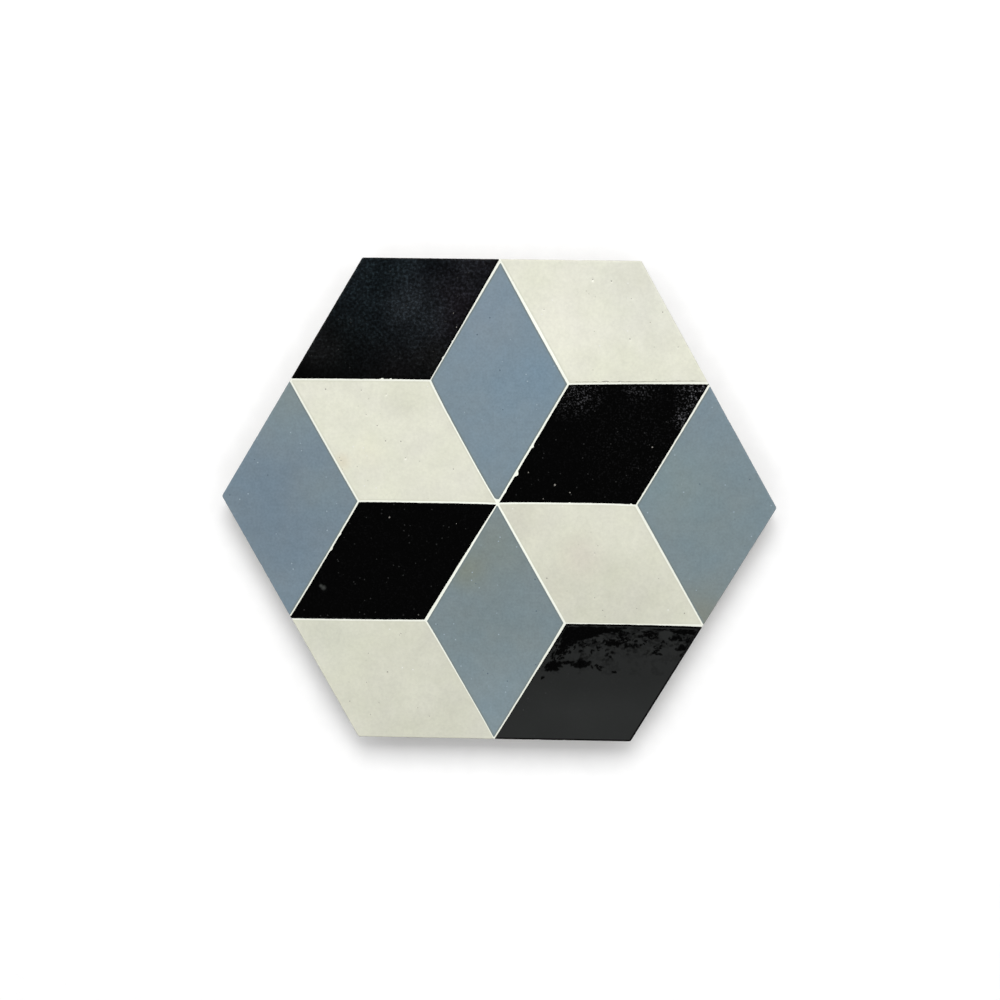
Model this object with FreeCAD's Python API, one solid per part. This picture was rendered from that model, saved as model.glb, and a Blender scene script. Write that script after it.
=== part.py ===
# Hexagonal cement floor tile, hydraulically pressed in one piece.
# The tile lies face up: its back rests on Z = 0, the origin is under its centre, and two of its
# corners point along X, so it measures ACROSS_FLATS along Y.
# Its face carries twelve inlaid rhombs, which read as stacked cubes. The colours are poured between
# the strips of a thin metal divider. White cement fills the lines that the strips leave, and the
# colours reach some way into the tile, so they show on its sides too. All of it sets as one solid:
# the fields and the lines are faces of that solid, split from each other where two colours meet.
import FreeCAD, Part

import math
import os

# The pressed slab, in millimetres and degrees
ACROSS_FLATS = 200.0
THICKNESS = 16.0
SIDE_DRAFT = 1.0
CORNER_RADIUS = 1.2
FACE_ARRIS = 0.5
BACK_ARRIS = 0.8

# The inlay
LINE_WIDTH = 0.9
TIP_RADIUS = 0.6
COLOUR_DEPTH = 3.0

# The shallow key that the ram presses into the back, where the adhesive grips
KEY_BORDER = 18.0
KEY_DEPTH = 1.0
KEY_SLOPE = 45.0
KEY_CORNER_RADIUS = 8.0

# How far a cutting shape runs past the surface that it cuts
OVERRUN = 5.0

UP = FreeCAD.Vector(0, 0, 1)
TOUCHING = 1e-6


def polar(radius, degrees, height=0.0):
    """The point at this distance from the tile's axis, in this direction from X, at this height."""
    turn = math.radians(degrees)
    return FreeCAD.Vector(radius * math.cos(turn), radius * math.sin(turn), height)


def is_level(edge):
    """True if both ends of the edge are at one height."""
    heights = [v.Z for v in edge.Vertexes]
    return max(heights) - min(heights) < TOUCHING


def edges_at(solid, height):
    """The edges of the solid that lie at this height."""
    return [e for e in solid.Edges if is_level(e) and abs(e.Vertexes[0].Z - height) < TOUCHING]


def hexagon(across_flats, height):
    """A hexagon's corners in turn, the first on the X axis and once more at the end."""
    corner = across_flats / 2 / math.cos(math.radians(30))
    return [polar(corner, 60 * n, height) for n in range(7)]


def frustum(across_low, across_high, low, high, corner_radius):
    """A hexagonal block with flat sloping sides and rounded upright edges."""
    bottom = hexagon(across_low, low)
    top = hexagon(across_high, high)
    sides = [[bottom[n], bottom[n + 1], top[n + 1], top[n], bottom[n]] for n in range(6)]
    outlines = [bottom[::-1], top, *sides]
    block = Part.makeSolid(Part.makeShell([Part.Face(Part.makePolygon(o)) for o in outlines]))
    return block.makeFillet(corner_radius, [e for e in block.Edges if not is_level(e)])


def pressed_slab():
    """The tile's body. It narrows towards the back, so that it leaves the mould, and its edges are eased."""
    across_back = ACROSS_FLATS - 2 * THICKNESS * math.tan(math.radians(SIDE_DRAFT))
    slab = frustum(across_back, ACROSS_FLATS, 0.0, THICKNESS, CORNER_RADIUS)
    slab = slab.makeFillet(FACE_ARRIS, edges_at(slab, THICKNESS))
    return slab.makeFillet(BACK_ARRIS, edges_at(slab, 0.0))


def back_key():
    """What the ram presses out of the back: a shallow hexagon with sloping walls and round corners."""
    mouth = ACROSS_FLATS - 2 * KEY_BORDER
    narrowing = 2 / math.tan(math.radians(KEY_SLOPE))
    return frustum(
        mouth + narrowing * OVERRUN,
        mouth - narrowing * KEY_DEPTH,
        -OVERRUN,
        KEY_DEPTH,
        KEY_CORNER_RADIUS,
    )


def divider_strips():
    """The runs of the strips: six from the centre to a joint, and two from each joint out through the sides."""
    rhomb_edge = ACROSS_FLATS / math.sqrt(3) / 2
    centre = polar(0, 0)
    joints = [polar(rhomb_edge, 60 * n) for n in range(6)]
    middles = [polar(ACROSS_FLATS / 2, 60 * n + 30) for n in range(6)]
    inner = [(centre, joint) for joint in joints]
    outer = [(joints[n], middles[n - turn]) for n in range(6) for turn in (0, 1)]
    return inner + [(start, end + (end - start).normalize() * OVERRUN) for start, end in outer]


def strip_wall(start, end):
    """The upright wall that one strip leaves, from the bottom of the colours to over the face."""
    half = UP.cross((end - start).normalize()) * (LINE_WIDTH / 2)
    foot = UP * (THICKNESS - COLOUR_DEPTH)
    outline = [start - half, end - half, end + half, start + half, start - half]
    return Part.Face(Part.makePolygon([p + foot for p in outline])).extrude(UP * (COLOUR_DEPTH + OVERRUN))


def with_round_tips(field):
    """The field with its sharp corners rounded, as the solder in the divider's joints leaves them.

    Only where two strips meet is a field's upright edge as tall as the colours are deep: at the tile's
    side it ends at the arris.
    """
    tips = []
    for edge in field.Edges:
        if is_level(edge) or abs(edge.Length - COLOUR_DEPTH) > TOUCHING:
            continue
        first, second = (f.normalAt(0, 0) for f in field.Faces if any(e.isSame(edge) for e in f.Edges))
        if first.getAngle(second) > math.radians(90):
            tips.append(edge)
    return field.makeFillet(TIP_RADIUS, tips) if tips else field


def tile():
    """The slab with its key, its top split into the fields and the lines, all fused as one solid."""
    slab = pressed_slab().cut(back_key())
    above = Part.makeBox(
        2 * ACROSS_FLATS,
        2 * ACROSS_FLATS,
        COLOUR_DEPTH + OVERRUN,
        FreeCAD.Vector(-ACROSS_FLATS, -ACROSS_FLATS, THICKNESS - COLOUR_DEPTH),
    )
    coloured = slab.common(above)
    walls = [strip_wall(start, end) for start, end in divider_strips()]
    fields = [with_round_tips(field) for field in coloured.cut(walls).Solids]
    lines = coloured.cut(fields)
    return slab.cut(above).multiFuse([lines, *fields])


def write(name, shape):
    """Writes one piece of the tile as a STEP file, and prints what it holds."""
    os.makedirs("parts", exist_ok=True)
    shape.exportStep(f"parts/{name}.step")
    box = shape.optimalBoundingBox(False, False)
    print(f"{name}: {len(shape.Solids)} solid, {len(shape.Faces)} faces, valid {shape.isValid()}")
    print(f"{box.XLength:.2f} x {box.YLength:.2f} x {box.ZLength:.2f} mm, {shape.Volume / 1000:.1f} cm3")


write("hexagon_tile", tile())
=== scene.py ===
# %% [markdown]
# # A hexagonal cement floor tile
# The tile is one slab. Its maker pours thin coloured cement slurries between the strips of a brass
# divider, lifts the divider out, sifts dry mortar on the back and presses everything in a steel
# mould. The colours are therefore a few millimetres deep, and the white lines are the gaps that the
# strips leave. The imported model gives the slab's real size, and this scene gives it the surface:
# uneven lines, chipped edges, pinholes, a waxed face and a rough back.

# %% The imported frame
import math
import random

import bpy
from mathutils import Matrix, Vector, noise
from mathutils.geometry import delaunay_2d_cdt


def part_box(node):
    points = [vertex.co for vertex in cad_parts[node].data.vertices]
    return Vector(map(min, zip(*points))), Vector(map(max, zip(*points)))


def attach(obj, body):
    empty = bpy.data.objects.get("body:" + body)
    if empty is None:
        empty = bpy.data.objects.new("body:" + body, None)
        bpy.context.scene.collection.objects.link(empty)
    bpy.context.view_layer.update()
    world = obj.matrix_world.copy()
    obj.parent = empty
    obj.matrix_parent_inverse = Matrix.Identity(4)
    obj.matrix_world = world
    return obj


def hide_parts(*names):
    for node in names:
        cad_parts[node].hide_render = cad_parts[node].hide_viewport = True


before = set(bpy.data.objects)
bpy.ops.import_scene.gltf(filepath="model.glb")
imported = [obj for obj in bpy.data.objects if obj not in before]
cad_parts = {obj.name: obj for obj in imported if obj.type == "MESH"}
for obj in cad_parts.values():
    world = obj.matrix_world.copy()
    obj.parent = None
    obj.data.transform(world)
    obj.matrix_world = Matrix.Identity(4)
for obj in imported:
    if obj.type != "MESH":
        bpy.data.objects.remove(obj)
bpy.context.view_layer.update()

MM = 0.001
low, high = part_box("hexagon_tile")
thickness = (high.z - low.z) / MM
across_flats = round((high.y - low.y) / MM)
print(f"the tile is {across_flats} mm across its flats and {thickness:.1f} mm thick")

# %% [markdown]
# ## The camera
# The tile lies on the floor and is seen from almost straight above. A tile that lies flat shows only
# its face, so the outline's slight narrowing towards the bottom is what tells where the camera is:
# it hangs above a point between the middle and the far side. It is placed here by a lean and a
# distance, because those are what a photographer would set on a tripod.

# %% Camera
LENS = 50
# The point of the face that the lens is turned to
AIM = (1.0 * MM, 1.15 * MM)
DISTANCE = 575.9 * MM
LEAN_RIGHT = math.radians(1.5)
LEAN_BACK = math.radians(4.77)
ROLL = math.radians(0.84)

lean = math.hypot(LEAN_RIGHT, LEAN_BACK)
flat_share = math.sin(lean) / lean
up_the_lens = Vector((LEAN_RIGHT * flat_share, LEAN_BACK * flat_share, math.cos(lean)))
across_the_view = Vector((0, 1, 0)).cross(up_the_lens).normalized()
camera_axes = Matrix((across_the_view, up_the_lens.cross(across_the_view), up_the_lens)).transposed()

camera = bpy.data.objects.new("camera", bpy.data.cameras.new("camera"))
bpy.context.scene.collection.objects.link(camera)
bpy.context.scene.camera = camera
camera.data.lens = LENS
camera.matrix_world = (
    Matrix.Translation(Vector((*AIM, high.z)) + up_the_lens * DISTANCE)
    @ camera_axes.to_4x4()
    @ Matrix.Rotation(ROLL, 4, "Z")
)
print("camera at", [round(v / MM) for v in camera.matrix_world.translation], "mm")

# %% [markdown]
# ## Colours and node trees
# A colour that is read off a screen is an sRGB value, and a renderer counts light in a straight
# line, so each hex value is turned to linear once. Node trees are written with one small helper,
# which adds a node, sets its fields and sockets, and returns it to be linked from.

# %% Helpers for colour and nodes
def linear(hex_colour):
    """The linear RGBA of an sRGB hex value such as #7d909c."""
    parts = [int(hex_colour[i : i + 2], 16) / 255 for i in (1, 3, 5)]
    return (*(p / 12.92 if p <= 0.04045 else ((p + 0.055) / 1.055) ** 2.4 for p in parts), 1.0)


def add(tree, kind, sockets=(), take=0, stops=(), **fields):
    """Adds a node, sets or links its sockets, and returns one of its outputs, or the node for None.

    sockets lists values in the node's own order or gives them by name. A value is a number, a colour
    or another node's output. A MapRange has the value, the range it comes from and the one it goes
    to. stops are a ramp's positions with their colours or grey levels.
    """
    node = tree.nodes.new("ShaderNode" + kind)
    for name, value in fields.items():
        setattr(node, name, value)
    for name, value in sockets.items() if isinstance(sockets, dict) else enumerate(sockets):
        if isinstance(value, bpy.types.NodeSocket):
            tree.links.new(value, node.inputs[name])
        else:
            node.inputs[name].default_value = value
    for n, (position, colour) in enumerate(stops):
        element = node.color_ramp.elements[n] if n < 2 else node.color_ramp.elements.new(position)
        element.position = position
        element.color = colour if isinstance(colour, tuple) else (colour, colour, colour, 1)
    return node if take is None else node.outputs[take]


# %% [markdown]
# ## Light
# The shadow is deepest below the tile and gone within two centimetres, and there is next to none
# above it: a large soft light stands beyond the top of the picture, and a pale room fills the rest,
# brighter on that side too. The room's light comes in from the windows, not from above. A camera
# that looks straight down mirrors the ceiling round itself in the waxed face, and there the black
# fields are as good as black, so that part is dark.

# %% The room
ROOM_LIGHT = 1.39
HORIZON_SHARE = 0.11
BRIGHTER_BEYOND = 0.245
# The direction's height is 0 at the horizon and 1 straight up
STOPS = [(0.35, HORIZON_SHARE), (0.6, 1.0), (0.83, 1.0), (0.927, 0.006)]

bpy.context.scene.view_settings.view_transform = "Standard"
world = bpy.data.worlds.new("pale_room")
bpy.context.scene.world = world
world.use_nodes = True
tree = world.node_tree
tree.nodes.clear()
direction = add(tree, "TexCoord", take="Generated")
height = add(tree, "SeparateXYZ", [direction], "Z")
room = add(tree, "ValToRGB", [height], stops=STOPS)
beyond = add(tree, "SeparateXYZ", [direction], "Y")
dimmest, brightest = ROOM_LIGHT * (1 - BRIGHTER_BEYOND), ROOM_LIGHT * (1 + BRIGHTER_BEYOND)
strength = add(tree, "MapRange", [beyond, -1.0, 1.0, dimmest, brightest])
room = add(tree, "Background", [room, strength])
add(tree, "OutputWorld", [room], None)
print("the room has", len(tree.nodes), "nodes")

# %% The soft light beyond the top of the picture
KEY_PLACE = Vector((0.03, 0.79, 1.14))
KEY_SIZE = 0.72
KEY_WATTS = 10.0

key = bpy.data.objects.new("soft_key", bpy.data.lights.new("soft_key", "AREA"))
bpy.context.scene.collection.objects.link(key)
key.data.shape = "SQUARE"
key.data.size = KEY_SIZE
key.data.energy = KEY_WATTS
key.location = KEY_PLACE
key.rotation_mode = "QUATERNION"
key.rotation_quaternion = KEY_PLACE.to_track_quat("Z", "Y")
print(f"the soft light stands {KEY_PLACE.length:.2f} m away")

# %% The floor
FLOOR_SIZE = 8.0
# Paper fibres are too fine to show, so its tone changes over about 9 mm instead
CHANGES_ACROSS = 900.0

paper = bpy.data.materials.new("white_paper_floor")
paper.use_nodes = True
shader = paper.node_tree.nodes["Principled BSDF"]
shader.inputs["Roughness"].default_value = 0.9
shader.inputs["Specular IOR Level"].default_value = 0.0
fibres = add(paper.node_tree, "TexNoise", {"Scale": CHANGES_ACROSS, "Detail": 3.0})
stops = [(0.3, linear("#f6f6f6")), (0.7, linear("#f9f9f9"))]
fibres = add(paper.node_tree, "ValToRGB", [fibres], stops=stops)
paper.node_tree.links.new(fibres, shader.inputs["Base Color"])


def sheet(name, outlines, material):
    """An object made of flat outlines, each a list of points."""
    points = [p for outline in outlines for p in outline]
    loops, start = [], 0
    for outline in outlines:
        loops.append(list(range(start, start + len(outline))))
        start += len(outline)
    mesh = bpy.data.meshes.new(name)
    mesh.from_pydata(points, [], loops)
    mesh.materials.append(material)
    made = bpy.data.objects.new(name, mesh)
    bpy.context.scene.collection.objects.link(made)
    return made


half = FLOOR_SIZE / 2
sheet("floor", [[(-half, -half, 0), (half, -half, 0), (half, half, 0), (-half, half, 0)]], paper)
print("the floor is", FLOOR_SIZE, "m wide")

# %% [markdown]
# ## What the wax mirrors
# The black field at the bottom right isn't black: it mirrors a pale sky, with the leaves of a
# branch before its upper edge. They are cards overhead that only mirrored rays can see, so they
# add no light. A card's own coordinates are chosen so that one unit is one millimetre on the face:
# a thing drawn on it at (60, -70) shows in the face at (60, -70).

# %% Cards overhead
CARD_HEIGHT = 2.4


def overhead(made, lift=0.0):
    """Hangs a card drawn in millimetres of the face where the face mirrors it to the camera."""
    eye = camera.matrix_world.translation - Vector((0, 0, high.z))
    rise = (CARD_HEIGHT + lift) / eye.z
    made.location = (-eye.x * rise, -eye.y * rise, high.z + CARD_HEIGHT + lift)
    made.scale = ((1 + rise) * MM,) * 3
    for ray in ("camera", "diffuse", "transmission", "volume_scatter", "shadow"):
        setattr(made, "visible_" + ray, False)


# %% What glows
SKY_COLOUR = linear("#ccd1cf")


def bare(name):
    """A material without any nodes."""
    material = bpy.data.materials.new(name)
    material.use_nodes = True
    material.node_tree.nodes.clear()
    return material


def glowing(material, light):
    """Lets a material give off the sky's colour. light is how strongly, a number or an output."""
    tree = material.node_tree
    glow = add(tree, "Emission", [SKY_COLOUR, light])
    add(tree, "OutputMaterial", [glow], None)
    return material


# %% The sky
# Its outline, as it shows in the face: it ends below the middle, so the fields above mirror the room
SKY = [(-230, -210), (230, -210), (230, -48), (20, -48), (0, -66), (-230, -66)]
CLOUDS_PER_MM = 0.03

material = bare("cloudy_sky")
tree = material.node_tree
place = add(tree, "TexCoord", take="Object")
cloud = add(tree, "TexNoise", {"Vector": place, "Scale": CLOUDS_PER_MM, "Detail": 2.0})
cloud = add(tree, "MapRange", [cloud, 0.0, 1.0, 0.8, 1.2])
up = add(tree, "SeparateXYZ", [place], "Y")
# The sky dims a little towards the branch
dimmer = add(tree, "MapRange", [up, -88.0, -75.0, 1.0, 0.84])
light = add(tree, "Math", [cloud, dimmer], operation="MULTIPLY")
overhead(sheet("sky_card", [[(x, y, 0) for x, y in SKY]], glowing(material, light)))
print("the sky has", len(tree.nodes), "nodes")

# %% The branch before the sky
# Each clump of leaves: its middle, its half width and half height, how many leaves it has, and how
# much of its middle they close
CLUMPS = [
    ((34.8, -53.2), (10.4, 3.5), 130, 1.05),
    ((46.5, -52.0), (5.5, 1.9), 34, 0.9),
    ((49.5, -58.4), (4.8, 1.6), 26, 0.6),
    ((57.0, -59.4), (3.6, 0.8), 12, 0.4),
    ((64.5, -52.0), (3.2, 0.8), 12, 0.5),
    ((78.6, -51.8), (5.4, 1.2), 30, 0.8),
    ((75.2, -55.2), (4.6, 0.9), 16, 0.4),
    ((82.0, -56.4), (2.6, 2.2), 16, 0.6),
    ((78.6, -59.4), (3.8, 1.5), 20, 0.5),
    ((78.8, -63.2), (3.0, 0.9), 8, 0.2),
    ((30.6, -57.6), (4.8, 3.0), 44, 0.6),
    ((26.6, -61.6), (4.4, 3.2), 44, 0.4),
    ((24.6, -67.8), (4.4, 2.5), 40, 0.95),
    ((31.0, -66.4), (3.0, 1.4), 16, 0.4),
    ((20.6, -73.0), (0.9, 0.4), 3, 0.6),
    ((36.6, -66.9), (3.9, 2.0), 34, 0.75),
    ((43.2, -68.7), (2.8, 1.2), 12, 0.2),
    ((50.3, -70.1), (0.9, 0.4), 3, 0.6),
]
# The scattered leaves lie between these two ends of the branch. They start at the height BRANCH_TOP,
# get fewer further down, and leave out a clearing, which is a middle and a reach
BRANCH_ENDS = (18, 92)
BRANCH_TOP = -49.5
CLEARING = ((70.4, -53.6), 2.9)
# The directions from a leaf's middle to the points of its outline
LEAF_TURNS = (0, 0.7, 1.6, 2.6, 3.5, 4.6, 5.6)
PATCH_POINTS = 40


def smooth_noise(x, y, z):
    """Noise between -1 and 1 that changes over about one unit."""
    return noise.noise(Vector((x, y, z)))


def leaf(dice, at, least, most):
    """The outline of one small leaf, whose half length lies between the least and the most."""
    lie, long = dice.gauss(0.2, 0.7), dice.uniform(least, most)
    wide = long * dice.uniform(0.35, 0.7)
    along = Vector((math.cos(lie), math.sin(lie)))
    across = Vector((-math.sin(lie), math.cos(lie)))
    return [at + along * long * math.cos(a) + across * wide * math.sin(a) for a in LEAF_TURNS]


def scattered(dice, count, reach, thinning):
    """Leaves in uneven drifts over the field's upper part, down to this reach."""
    outlines = []
    for _ in range(count):
        down = reach * dice.random() ** 1.4
        at = Vector((dice.uniform(*BRANCH_ENDS), BRANCH_TOP - down))
        drift = smooth_noise(at.x / 5, at.y / 3.5, reach)
        drift += 0.6 * smooth_noise(at.x / 1.8, at.y / 1.4, reach)
        if drift > down * thinning - 0.08 and (at - Vector(CLEARING[0])).length > CLEARING[1]:
            outlines.append(leaf(dice, at, 0.3, 0.9))
    return outlines


def clump(dice, middle, half_wide, half_high, count, closed):
    """One clump's leaves, and the ragged patch that they close in its middle."""
    outlines = []
    for _ in range(count):
        turn, reach = dice.uniform(0, 2 * math.pi), math.sqrt(dice.random())
        at = middle + Vector((half_wide * math.cos(turn), half_high * math.sin(turn))) * reach
        outlines.append(leaf(dice, at, 0.45, 1.2))
    if closed:
        ragged = [closed * (1 + 0.5 * smooth_noise(n * 0.8, middle.x, 8.0)) for n in range(PATCH_POINTS)]
        turns = [2 * math.pi * n / PATCH_POINTS for n in range(PATCH_POINTS)]
        oval = [Vector((half_wide * math.cos(a), half_high * math.sin(a))) for a in turns]
        outlines.append([middle + at * reach for at, reach in zip(oval, ragged)])
    return outlines


# %% The leaves' cards, the furthest and palest first
DEPTH_STEP = 0.02

dice = random.Random(8)
leaves = scattered(dice, 3600, 15.0, 0.036)
for middle, (half_wide, half_high), count, closed in CLUMPS:
    leaves += clump(dice, Vector(middle), half_wide, half_high, count, closed)
hazy = scattered(dice, 3000, 18.0, 0.026)
hazier = scattered(dice, 4500, 22.0, 0.012)
cards = [
    ("leaves_furthest", hazier, 0.68),
    ("leaves_further", hazy, 0.36),
    ("leaves_in_shade", leaves, 0.01),
]
for n, (name, outlines, light) in enumerate(cards, start=1):
    card = sheet(name, [[(*p, 0) for p in outline] for outline in outlines], glowing(bare(name), light))
    overhead(card, -DEPTH_STEP * n)
    print(len(outlines), name.replace("_", " "))

# %% [markdown]
# ## Where the divider's strips run
# Six strips meet in the middle and run to six joints, and two more leave each joint for the middles
# of two sides. The strips are soldered by hand, so no joint is quite where a drawing would have it,
# and thin strips bend a little between their joints.

# %% The divider's joints
CENTRE = "centre"
# How far a joint, or a corner of the worn mould, is out of place, in millimetres. The number in a
# name is its direction in degrees, counted from the right
SLIPS = {
    CENTRE: (0.0, -0.4),
    "joint 0": (-0.4, -0.2),
    "joint 60": (-0.4, -0.5),
    "joint 120": (0.35, 0.05),
    "joint 180": (-0.1, -0.35),
    "joint 240": (-0.5, 0.05),
    "joint 300": (-0.05, 0.0),
    "middle 30": (0.0, 0.65),
    "middle 90": (-0.35, -0.55),
    "middle 150": (-0.1, -0.3),
    "middle 210": (-0.5, -0.4),
    "middle 270": (-0.1, 0.4),
    "middle 330": (-0.3, 0.15),
    "corner 0": (-0.15, -0.3),
    "corner 60": (-0.45, 0.0),
    "corner 120": (0.8, 0.0),
    "corner 180": (0.4, 0.9),
    "corner 240": (0.4, 0.0),
    "corner 300": (-0.45, 0.3),
}


def toward(degrees, distance):
    """The point this far from the tile's middle, in this direction from the corner at +X."""
    turn = math.radians(degrees)
    return Vector((distance * math.cos(turn), distance * math.sin(turn)))


rhomb_edge = across_flats / math.sqrt(3) / 2
nodes = {CENTRE: Vector((0, 0))}
for turn in range(0, 360, 60):
    nodes[f"joint {turn}"] = toward(turn, rhomb_edge)
    nodes[f"middle {turn + 30}"] = toward(turn + 30, across_flats / 2)
    nodes[f"corner {turn}"] = toward(turn, 2 * rhomb_edge)
for name, slip in SLIPS.items():
    nodes[name] += Vector(slip)
print(len(nodes), "joints, middles of sides and corners")

# %% [markdown]
# ## The edges of the lines
# When the divider is lifted out, slurry seeps along its strips and the white closes behind it. So a
# line is never ruled: it is wider where the strip was thick or loose, its two banks wander by a
# tenth of a millimetre, most of all against the black, and here and there a crumb of the black has
# come away with the brass. Ruled lines with a rough texture could look so from far off, but not at
# their edges. So each bank is worked out as a distance from the straight between two joints: half
# the line's width, the strip's bow, smooth noise and those few crumbs.

# %% The widths and bows of the strips
# For each strip, the line's width at its start, middle and end, and how far the strip's middle is
# bent to its left, in millimetres
STRIPS = {
    (CENTRE, "joint 0"): (0.7, 0.7, 0.7, 0.4),
    (CENTRE, "joint 60"): (0.75, 0.8, 0.75, 0.0),
    (CENTRE, "joint 120"): (0.5, 0.5, 0.8, 0.5),
    (CENTRE, "joint 180"): (0.7, 0.7, 0.7, -0.2),
    (CENTRE, "joint 240"): (0.4, 1.0, 1.25, -0.1),
    (CENTRE, "joint 300"): (0.75, 0.9, 0.9, 0.0),
    ("joint 0", "middle 30"): (0.6, 0.6, 0.8, -0.15),
    ("joint 0", "middle 330"): (1.0, 0.8, 0.6, 0.0),
    ("joint 60", "middle 90"): (1.0, 1.2, 0.65, 0.0),
    ("joint 60", "middle 30"): (0.65, 0.55, 0.95, 0.1),
    ("joint 120", "middle 150"): (0.7, 0.7, 0.7, -0.1),
    ("joint 120", "middle 90"): (0.4, 0.5, 1.0, 0.0),
    ("joint 180", "middle 210"): (0.7, 0.55, 0.55, 0.2),
    ("joint 180", "middle 150"): (0.7, 0.7, 0.7, 0.1),
    ("joint 240", "middle 270"): (0.65, 0.45, 0.35, 0.25),
    ("joint 240", "middle 210"): (0.7, 0.55, 0.75, 0.1),
    ("joint 300", "middle 330"): (0.4, 0.4, 1.0, 0.1),
    ("joint 300", "middle 270"): (1.05, 0.65, 0.55, 0.15),
}
strips = list(STRIPS)


def line_width(strip, share):
    """The line's width at this share of its length."""
    start, middle, end, _ = STRIPS[strip]
    if share < 0.5:
        return start + (middle - start) * share * 2
    return middle + (end - middle) * (share - 0.5) * 2


def bow(strip, share):
    """How far the strip lies to the left of the straight at this share of its length."""
    return STRIPS[strip][3] * (1 - (2 * share - 1) ** 4)


print(len(strips), "strips,", sum(1 for *_, bent in STRIPS.values() if bent), "of them bent")

# %% The banks of a line
# How far a bank wanders beside each colour
WANDER = {"black": 0.08, "white": 0.04, "blue": 0.045}
# It sways slowly and trembles quickly, but is still near the joints
SWAYS_PER_MM = 0.21
TREMBLES_PER_MM = 1.1
STILL_REACH = 3.0
# Each crumb: how far along the strip its middle is, how long it is and how deep, in millimetres
CRUMBS = {
    (CENTRE, "joint 60", -1): [(14.6, 2.8, 0.8), (27.8, 1.5, 0.5), (6.0, 2.0, 0.15)],
    (CENTRE, "joint 0", 1): [(29.9, 0.8, 0.3), (55.3, 1.0, 0.4)],
    ("joint 120", "middle 150", -1): [(19.9, 1.8, 0.4), (16.3, 1.2, 0.4)],
    ("joint 120", "middle 90", 1): [(10.8, 1.6, 0.25), (18.6, 1.2, 0.2)],
    ("joint 180", "middle 210", 1): [(15.8, 2.0, 0.3), (23.0, 2.4, 0.4)],
}


def bank(strip, side, colour, along, length):
    """How far a bank lies from the straight. side is 1 on the strip's left and -1 on its right."""
    seed = strips.index(strip) * 5.3 + side * 1.7
    share = along / length
    out = line_width(strip, share) / 2 + side * bow(strip, share)
    moving = min(1.0, max(0.0, min(along, length - along) / STILL_REACH))
    wander = 0.8 * smooth_noise(along * SWAYS_PER_MM, seed, 0.0)
    wander += smooth_noise(along * TREMBLES_PER_MM, seed, 4.0)
    out += WANDER[colour] * wander * moving
    for middle, long, deep in CRUMBS.get((*strip, side), ()):
        off_middle = (along - middle) / (long / 2)
        if abs(off_middle) < 1:
            out += deep * (1 - off_middle * off_middle) ** 1.5
    return out


# %% [markdown]
# ## The outlines of the fields
# Walking round a field with its colour on the left, each side is one bank of a strip, and two banks
# meet in a small arc: the solder in the joint rounds the tips. A field on the tile's outside runs on
# past the slab, and the slab's own outline then cuts it, as the mould does. A little way in from
# its outline, a field has a shoulder, where the dip beside the line ends.

# %% Field outlines
BANK_STEP = 0.4
PAST_THE_SIDE = 4.0
TIP_RADIUS = {"black": 0.12, "white": 0.25, "blue": 0.3}
# One tip in the middle of the tile is rounder than the rest
ROUND_TIP = ("blue", CENTRE, 60)
ROUND_TIP_RADIUS = 1.1
TIP_STEPS = 5
SHOULDER = 0.9
SHOULDER_STEP = 1.2


def arc(middle, first, last, radius, steps):
    """The points of an arc between two directions from its middle, without its two ends."""
    turns = [(first * (1 - n / steps) + last * (n / steps)).normalized() for n in range(1, steps)]
    return [middle + turn * radius for turn in turns]


class Side:
    """One side of a field: a bank of a strip, walked with the field on the left."""

    def __init__(self, start, end, colour):
        self.colour = colour
        self.start, self.end = nodes[start], nodes[end]
        self.length = (self.end - self.start).length
        self.ahead = (self.end - self.start).normalized()
        self.left = Vector((-self.ahead.y, self.ahead.x))
        self.turned = (start, end) not in strips
        self.strip = (end, start) if self.turned else (start, end)

    def reach(self, along):
        """The bank's distance from the straight between the joints, this far along the walk."""
        side = -1 if self.turned else 1
        at = self.length - along if self.turned else along
        return bank(self.strip, side, self.colour, min(max(at, 0.0), self.length), self.length)

    def point(self, along, inwards=0.0):
        """The bank's point this far along the walk, moved inwards into the field."""
        return self.start + self.ahead * along + self.left * (self.reach(along) + inwards)

    def points(self, first, last, inwards=0.0, step=BANK_STEP):
        """The bank's points from one distance along the walk to another."""
        count = max(2, round((last - first) / step))
        return [self.point(first + (last - first) * n / count, inwards) for n in range(count + 1)]


def corner(before, after, radius):
    """The arc that joins two sides at a joint, and how far from the joint it meets each of them."""
    rows = Matrix((before.left, after.left))
    out = Vector((before.reach(before.length) + radius, after.reach(0.0) + radius))
    middle = before.end + rows.inverted() @ out
    trim_before = before.length - (middle - before.start).dot(before.ahead)
    trim_after = (middle - after.start).dot(after.ahead)
    return arc(middle, -before.left, -after.left, radius, TIP_STEPS), trim_before, trim_after


# %% Walking round the twelve fields
def inner_field(turn, colour):
    """A field between two of the strips that leave the centre: its outline and its shoulder."""
    stops = [CENTRE, f"joint {turn}", f"middle {turn + 30}", f"joint {(turn + 60) % 360}"]
    sides = [Side(stops[n], stops[(n + 1) % 4], colour) for n in range(4)]
    tips = []
    for n, stop in enumerate(stops):
        radius = ROUND_TIP_RADIUS if (colour, stop, turn) == ROUND_TIP else TIP_RADIUS[colour]
        tips.append(corner(sides[n - 1], sides[n], radius))
    outline, shoulder = [], []
    for n, side in enumerate(sides):
        first, last = tips[n][2], side.length - tips[(n + 1) % 4][1]
        outline += tips[n][0] + side.points(first, last)
        shoulder += side.points(first + SHOULDER, last - SHOULDER, SHOULDER, SHOULDER_STEP)
    return outline, shoulder


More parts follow.
